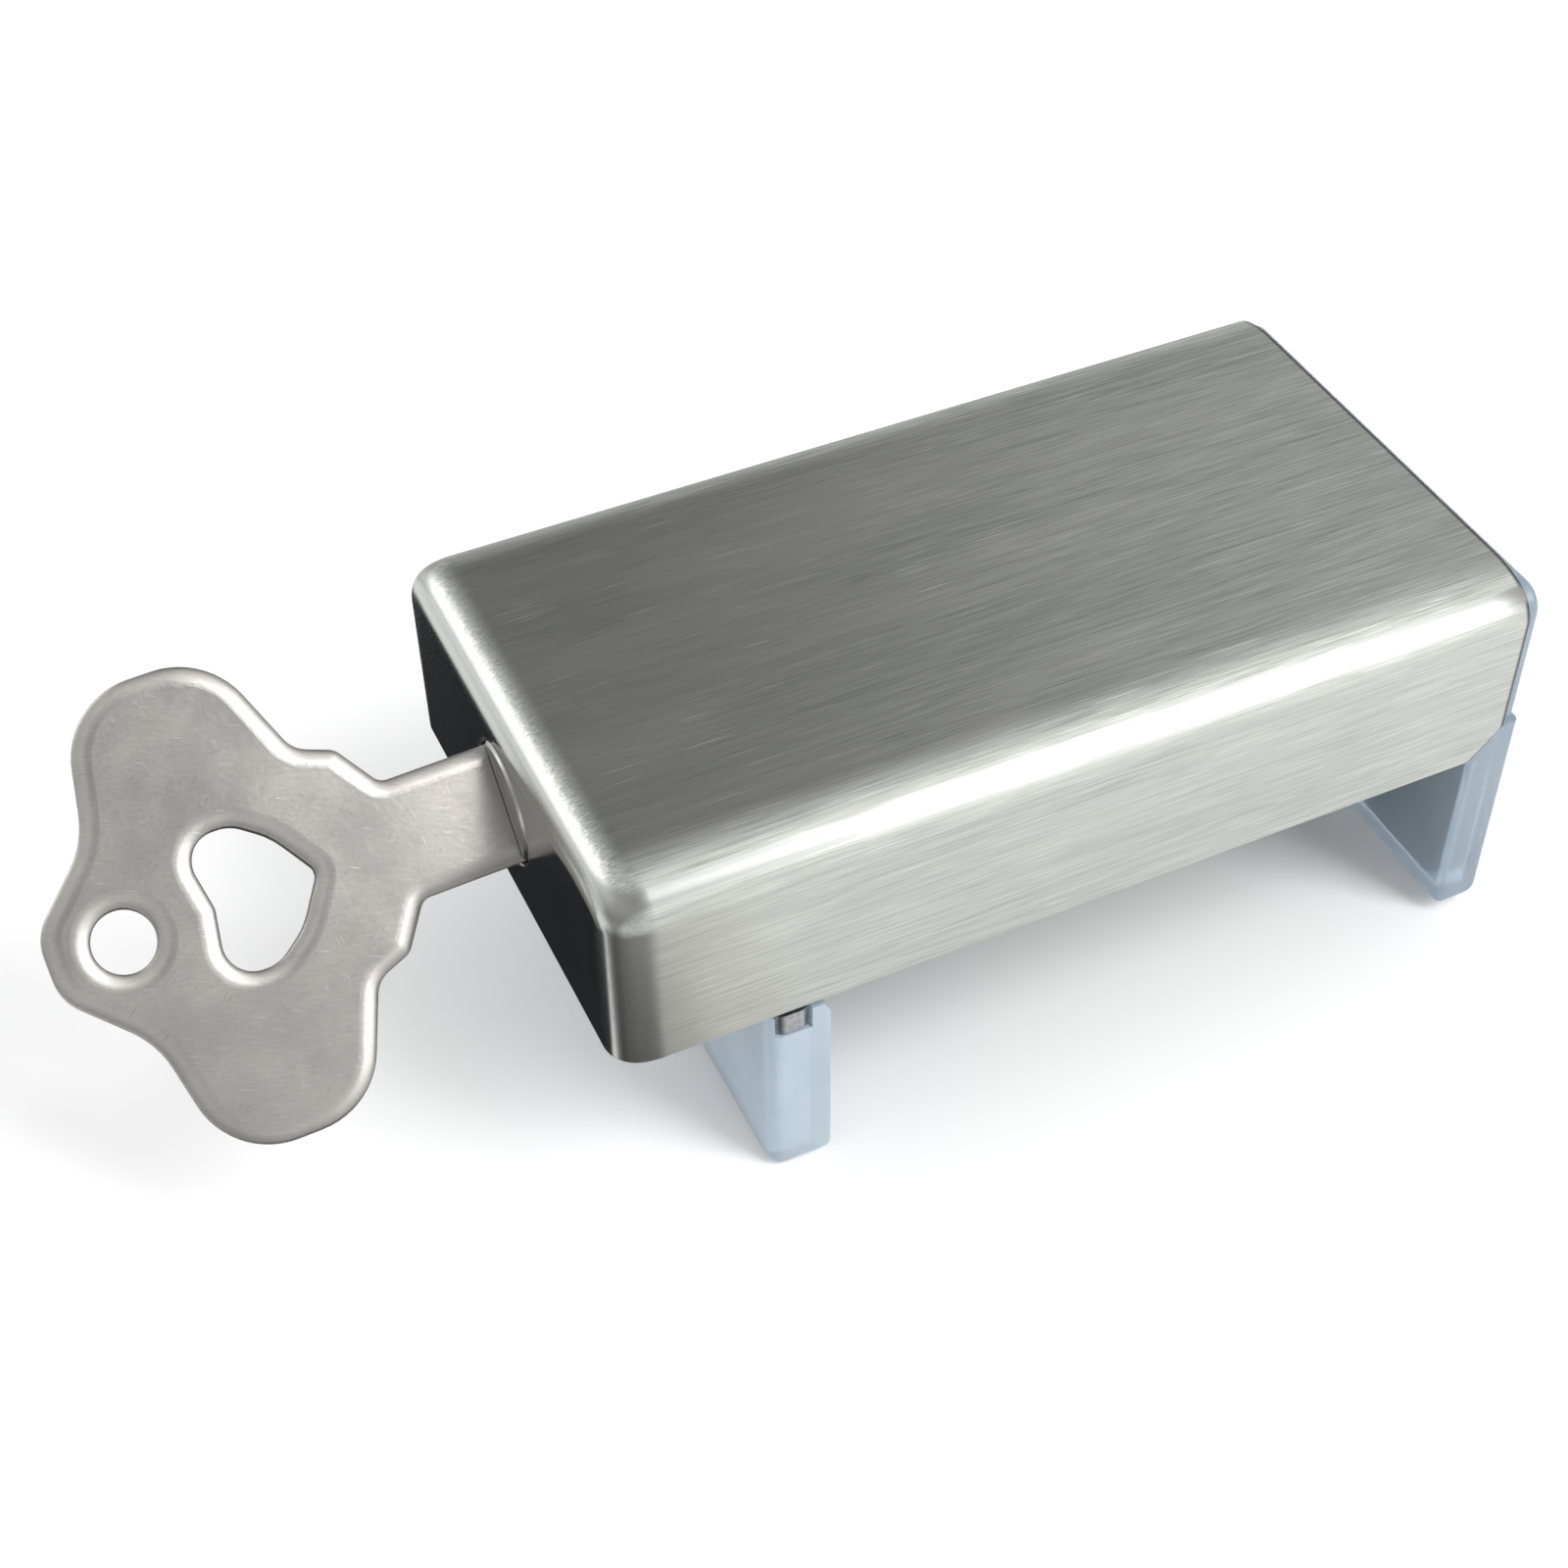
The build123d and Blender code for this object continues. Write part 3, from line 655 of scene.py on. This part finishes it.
# Drive plug, turned, with a slot for the key across its nose and a bore for the screw's spigot, in mm
drivePlug = {
    "nose": 3.45,  # radii
    "flange": 4.6,
    "body": 4.05,
    "bore": 2.05,
    "pinHole": 0.65,
    "noseBreak": 0.16,
    "proud": 0.1,  # of the end wall
    "noseLength": 1.55,  # through the end wall and the washer
    "flangeLength": 1.2,
    "boreDepth": 2.65,
    "pinPlace": 1.3,  # from the plug's inner end
    "slot": (5.0, 6.8, 1.8),  # depth, width and height
    "slotRun": 1.0,  # how far its cutter starts in front of the face
    "edgeBreak": (0.08, 40, 1),  # width, degrees past which an edge is broken, and segments
    "segments": (64, 32),  # of the plug and of the pin's hole
    "sharp": 30,  # degrees past which an edge stays sharp
}


def plugBlank(face, end):
    nose, flange, body, bore = [drivePlug[part] for part in ("nose", "flange", "body", "bore")]
    noseBreak = drivePlug["noseBreak"]
    flangeStart = keyEndX / mm + drivePlug["noseLength"]
    flangeEnd = flangeStart + drivePlug["flangeLength"]
    maker = bmesh.new()
    lathe(maker, ((face, nose - noseBreak), (face + noseBreak, nose), (flangeStart, nose),
                  (flangeStart, flange), (flangeEnd, flange), (flangeEnd, body), (end, body), (end, bore),
                  (end - drivePlug["boreDepth"], bore)), drivePlug["segments"][0])
    bmesh.ops.recalc_face_normals(maker, faces=maker.faces)
    return finishedMesh("turnedPlug", maker)


def plugCuts(face, end):
    # the key's slot and the pin's hole, both turned with the key
    turn = Matrix.Rotation(keyTurn, 4, "X")
    depth, width, height = drivePlug["slot"]
    run = drivePlug["slotRun"]
    maker = bmesh.new()
    slotPlace = Matrix.Translation(((face + (depth - run) / 2) * mm, 0, screwZ)) @ turn
    slotSize = Matrix.Diagonal(((depth + run) * mm, width * mm, height * mm, 1))
    bmesh.ops.create_cube(maker, size=1, matrix=slotPlace @ slotSize)
    pinPlace = Matrix.Translation(((end - drivePlug["pinPlace"]) * mm, 0, screwZ)) @ turn
    radius, through = drivePlug["pinHole"] * mm, 3 * drivePlug["body"] * mm
    bmesh.ops.create_cone(maker, cap_ends=True, segments=drivePlug["segments"][1], radius1=radius,
                          radius2=radius, depth=through, matrix=pinPlace)
    return finishedMesh("plugCuts", maker)


def buildDrivePlug():
    face, end = keyEndX / mm - drivePlug["proud"], plugHigh.x / mm
    cutter = linkedObject("plugCuts", plugCuts(face, end))
    plug = linkedObject("slotted_plug", plugBlank(face, end))
    slotted = plug.modifiers.new("slotted", "BOOLEAN")
    slotted.operation = "DIFFERENCE"
    slotted.object = cutter
    bpy.context.view_layer.update()
    plug.data = bpy.data.meshes.new_from_object(plug.evaluated_get(bpy.context.evaluated_depsgraph_get()))
    plug.modifiers.clear()
    bpy.data.objects.remove(cutter)
    plug.data.shade_smooth()
    plug.data.set_sharp_from_angle(angle=math.radians(drivePlug["sharp"]))
    breakEdges(plug, *drivePlug["edgeBreak"])
    dress(plug, metals["turnedSteel"], "drive_plug", "screw_body")


buildHousing()
print("stage: housing built")
buildKey()
buildLeadScrew()
buildDrivePlug()
print("stage: key, lead screw and drive plug built")

# Floor: pale and plain, white to the camera where the light falls full on it. Its size is in m
floorSettings = {"size": 1.2, "colour": "#f8f8f8"}
mattFinish = {"Roughness": 0.9, "Specular IOR Level": 0.1}  # of the floor and the cards on it


def addBoard(name, low, high, z, colour):
    # a level board between two corners, matt and of one colour
    mesh = bpy.data.meshes.new(name)
    mesh.from_pydata([(low[0], low[1], z), (high[0], low[1], z), (high[0], high[1], z), (low[0], high[1], z)],
                     [], [(0, 1, 2, 3)])
    board = linkedObject(name, mesh)
    material = newMaterial(name, {"Base Color": hexToLinear(colour), **mattFinish})[0]
    mesh.materials.append(material)
    return board


# Cards on the floor by the near corner that only reflections show: the photograph's steel mirrors dark
# surroundings there. Their corners are in mm, with x from the key end
flagCards = {
    "lift": 0.5,  # mm above the floor
    "cards": {
        "endFlag": ((-30.0, -10.5), (-0.5, 60.0), "#26292d"),
        "frontFlag": ((-40.0, -50.0), (5.5, -14.5), "#2f2c2a"),
        "middleFlag": ((5.5, -50.0), (9.0, -20.0), "#9b9894"),
        "paleFlag": ((9.0, -50.0), (14.0, -20.0), "#dfddd9"),
    },
}


def buildFlags():
    for name, (low, high, colour) in flagCards["cards"].items():
        corners = [(keyEndX + x * mm, y * mm) for x, y in (low, high)]
        flag = addBoard(name, corners[0], corners[1], groundZ + flagCards["lift"] * mm, colour)
        flag.visible_camera = flag.visible_diffuse = flag.visible_shadow = flag.visible_transmission = False


# World: plain white to the camera and plain soft light on the object. Reflections see a dark wall
# behind it, which the roof mirrors, and two grey zones: one high in front, which the key mirrors, and
# one low on the near left, which the near upright edge mirrors. Each row of a zone gives an axis of
# the direction, two places along it, and how strong the zone is at each
worldSettings = {
    "seen": 1.0,
    "light": 0.8,
    "wallColour": "#1e1f1e",
    "zoneColour": "#8a8a8a",
    "wall": (("Y", 0.18, 0.42, 0.0, 1.0), ("Z", 0.05, 0.4, 0.0, 1.0), ("X", -0.2, 0.1, 0.0, 1.0),
             ("X", 0.3, 0.48, 1.0, 0.55)),
    "keyZone": (("Y", -0.3, -0.55, 0.0, 1.0), ("X", 0.18, 0.02, 0.0, 1.0), ("X", -0.3, -0.1, 0.0, 1.0),
                ("Z", 0.71, 0.79, 0.0, 1.0)),
    "lowZone": (("Z", 0.42, 0.25, 0.0, 0.8), ("X", 0.3, -0.1, 0.0, 1.0), ("Y", 0.3, 0.0, 0.0, 1.0)),
}


def buildWorld():
    world = bpy.data.worlds.new("studio")
    bpy.context.scene.world = world
    world.use_nodes = True
    tree = world.node_tree
    tree.nodes.clear()
    white = (1, 1, 1, 1)
    rays = addNode(tree, "ShaderNodeLightPath")
    isCamera = rays.outputs["Is Camera Ray"]
    mirrors = addNode(tree, "ShaderNodeMath", {"operation": "MAXIMUM"},
                      {0: rays.outputs["Is Glossy Ray"], 1: rays.outputs["Is Transmission Ray"]})
    seen = addNode(tree, "ShaderNodeMath", {"operation": "MAXIMUM"}, {0: isCamera, 1: mirrors})
    coords = addNode(tree, "ShaderNodeTexCoord")
    direction = addNode(tree, "ShaderNodeSeparateXYZ", {}, {0: coords.outputs["Generated"]})
    wall, keyZone, lowZone = [
        ramps(tree, *[(direction.outputs[axis], *numbers) for axis, *numbers in worldSettings[zone]])
        for zone in ("wall", "keyZone", "lowZone")]
    zones = addNode(tree, "ShaderNodeMath", {"operation": "MAXIMUM"}, {0: keyZone, 1: lowZone})
    greyed = layTone(tree, "#ffffff", zones, worldSettings["zoneColour"])
    mirrored = layTone(tree, greyed, wall, worldSettings["wallColour"])
    shown = addNode(tree, "ShaderNodeMix", {"data_type": "RGBA", 7: white}, {0: isCamera, 6: mirrored})
    backdrop = addNode(tree, "ShaderNodeBackground", {"Strength": worldSettings["seen"]},
                       {"Color": shown.outputs[2]})
    lighting = addNode(tree, "ShaderNodeBackground", {"Strength": worldSettings["light"], "Color": white})
    mixed = addNode(tree, "ShaderNodeMixShader", {}, {0: seen, 1: lighting, 2: backdrop})
    addNode(tree, "ShaderNodeOutputWorld", {}, {"Surface": mixed})


# Softboxes: direction and distance in m from the object's middle, height and width in m, and watts
softboxes = {
    "softboxFront": ((0.43, -0.58, 0.69), 0.54, (0.40, 0.22), 2.2),
    "softboxLeft": ((-0.55, 0.62, 0.5), 0.7, (0.5, 0.5), 1.8),
}


def buildLamps():
    middle = Vector(((keyEndX + farX) / 2, 0, (rimZ + roofZ) / 2))
    for name, (direction, distance, size, power) in softboxes.items():
        data = bpy.data.lights.new(name, "AREA")
        data.shape = "RECTANGLE"
        data.size, data.size_y = size
        data.energy = power
        lamp = linkedObject(name, data)
        lamp.location = middle + Vector(direction).normalized() * distance
        lamp.rotation_euler = (middle - lamp.location).to_track_quat("-Z", "X").to_euler()


# Camera: found from the housing's edges in the photograph, and placed from the housing's key end
photoCamera = {
    "place": (-26.14, -92.81, 102.05),  # mm from the middle of the key end's lower edge
    "look": (0.2945, 0.6441, -0.7060),
    "up": (0.3063, 0.6361, 0.7082),
    "focal": 58.96,  # mm
    "sensor": 36.0,  # mm wide
    "nearest": 5.0,  # mm, what is nearer isn't drawn
}


def buildCamera():
    data = bpy.data.cameras.new("camera")
    data.sensor_width = photoCamera["sensor"]
    data.lens = photoCamera["focal"]
    data.clip_start = photoCamera["nearest"] * mm
    camera = linkedObject("camera", data)
    look = Vector(photoCamera["look"]).normalized()
    right = look.cross(Vector(photoCamera["up"])).normalized()
    up = right.cross(look)
    turn = Matrix((right, up, -look)).transposed().to_4x4()
    place = Vector((keyEndX, 0, rimZ)) + Vector(photoCamera["place"]) * mm
    camera.matrix_world = Matrix.Translation(place) @ turn
    bpy.context.scene.camera = camera


reach = floorSettings["size"] / 2
addBoard("paleFloor", (-reach, -reach), (reach, reach), groundZ, floorSettings["colour"])
buildFlags()
buildWorld()
buildLamps()
buildCamera()
bpy.context.scene.view_settings.view_transform = "Standard"
print("stage: studio built")
